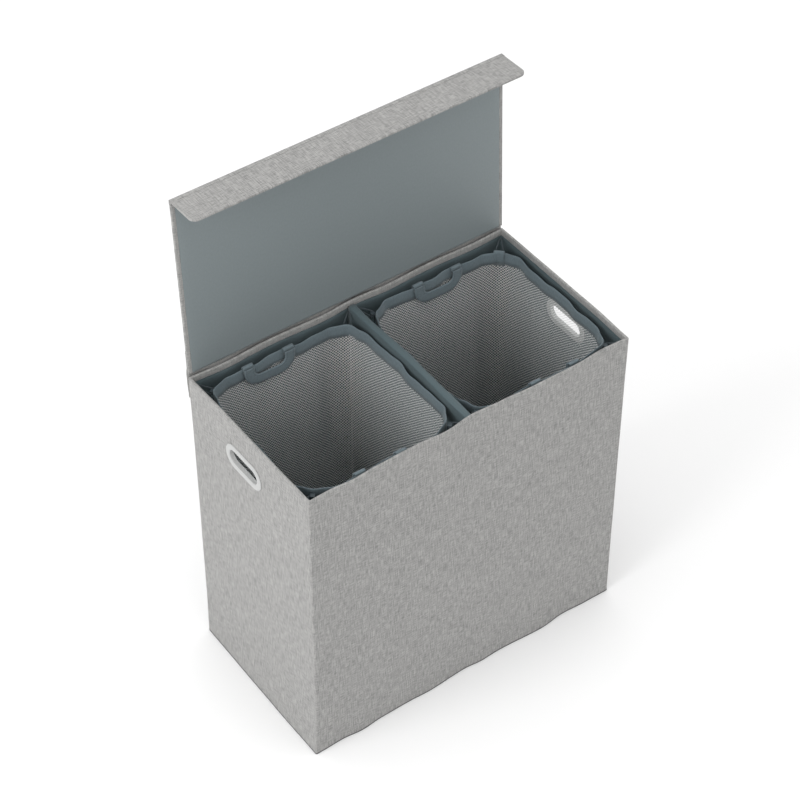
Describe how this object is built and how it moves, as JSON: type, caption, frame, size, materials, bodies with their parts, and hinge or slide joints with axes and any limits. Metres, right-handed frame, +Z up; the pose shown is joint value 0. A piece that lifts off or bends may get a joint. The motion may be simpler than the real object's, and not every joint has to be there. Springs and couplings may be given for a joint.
{
  "type": "laundry hamper with lid",
  "caption": "Tall double laundry hamper in grey linen, with a flap lid on a cloth hinge, a divider and two lift-out net liners with webbing handles.",
  "frame": {"origin": "middle of the flat underside that the box stands on", "axes": "+X along the width to the right, +Y from front to back, +Z up"},
  "size_m": [0.6154, 0.3468, 0.9469],
  "materials": {
    "linen": "woven grey linen, matt",
    "lining": "slate grey non-woven lining with a soft sheen",
    "chipboard": "raw pressed board",
    "underside_cloth": "black non-woven cloth, matt",
    "net": "grey knitted net",
    "webbing": "slate grey woven webbing",
    "ring_plastic": "moulded, satin off-white",
    "hook_plastic": "moulded, dark grey",
    "cord": "dark elastic cord"
  },
  "bodies": {
    "root": {"bottom_cover": "underside_cloth", "base_board": "chipboard", "base_lining": "lining", "front_cover": "linen", "front_board": "chipboard", "front_lining": "lining", "back_cover": "linen", "back_board": "chipboard", "back_lining": "lining", "left_cover": "linen", "left_board": "chipboard", "left_lining": "lining", "right_cover": "linen", "right_board": "chipboard", "right_lining": "lining", "rim_facing": "linen", "divider_board": "chipboard", "divider_cover": "lining", "left_grommet_outer": "ring_plastic", "left_grommet_inner": "ring_plastic", "right_grommet_outer": "ring_plastic", "right_grommet_inner": "ring_plastic", "hinge_strip_wall": "linen", "left_front_outer_cord_loop": "cord", "left_front_inner_cord_loop": "cord", "left_back_outer_cord_loop": "cord", "left_back_inner_cord_loop": "cord", "right_front_outer_cord_loop": "cord", "right_front_inner_cord_loop": "cord", "right_back_outer_cord_loop": "cord", "right_back_inner_cord_loop": "cord"},
    "lid": {"lid_cover": "linen", "lid_board": "chipboard", "lid_lining": "lining", "hinge_strip_lid": "linen"},
    "flap": {"flap_cover": "linen", "flap_board": "chipboard", "flap_lining": "lining"},
    "left_liner": {"left_liner_net": "net", "left_liner_base": "lining", "left_liner_trim": "webbing", "left_front_outer_hook": "hook_plastic", "left_front_inner_hook": "hook_plastic", "left_back_outer_hook": "hook_plastic", "left_back_inner_hook": "hook_plastic"},
    "left_front_handle": {"left_front_handle": "webbing"},
    "left_back_handle": {"left_back_handle": "webbing"},
    "right_liner": {"right_liner_net": "net", "right_liner_base": "lining", "right_liner_trim": "webbing", "right_front_outer_hook": "hook_plastic", "right_front_inner_hook": "hook_plastic", "right_back_outer_hook": "hook_plastic", "right_back_inner_hook": "hook_plastic"},
    "right_front_handle": {"right_front_handle": "webbing"},
    "right_back_handle": {"right_back_handle": "webbing"}
  },
  "joints": [
    {"name": "lid_hinge", "type": "hinge", "parent": "root", "child": "lid", "pos_m": [0, 0.1678, 0.6051], "axis": [-1, 0, 0], "range_deg": [-92.3, 174]},
    {"name": "flap_hinge", "type": "hinge", "parent": "lid", "child": "flap", "pos_m": [0, 0.18201, 0.9441], "axis": [-1, 0, 0], "range_deg": [0, 90]},
    {"name": "left_liner_lift", "type": "slide", "parent": "root", "child": "left_liner", "axis": [0, -0.0995, 0.995], "range_m": [0, 0.62]},
    {"name": "left_front_handle_hinge", "type": "hinge", "parent": "left_liner", "child": "left_front_handle", "pos_m": [-0.1618, -0.14011, 0.5812], "axis": [1, 0, 0], "range_deg": [0, 180]},
    {"name": "left_back_handle_hinge", "type": "hinge", "parent": "left_liner", "child": "left_back_handle", "pos_m": [-0.1718, 0.14011, 0.5812], "axis": [-1, 0, 0], "range_deg": [0, 180]},
    {"name": "right_liner_lift", "type": "slide", "parent": "root", "child": "right_liner", "axis": [0, -0.0995, 0.995], "range_m": [0, 0.62]},
    {"name": "right_front_handle_hinge", "type": "hinge", "parent": "right_liner", "child": "right_front_handle", "pos_m": [0.1718, -0.14011, 0.5812], "axis": [1, 0, 0], "range_deg": [0, 180]},
    {"name": "right_back_handle_hinge", "type": "hinge", "parent": "right_liner", "child": "right_back_handle", "pos_m": [0.1578, 0.14011, 0.5812], "axis": [-1, 0, 0], "range_deg": [0, 180]}
  ]
}
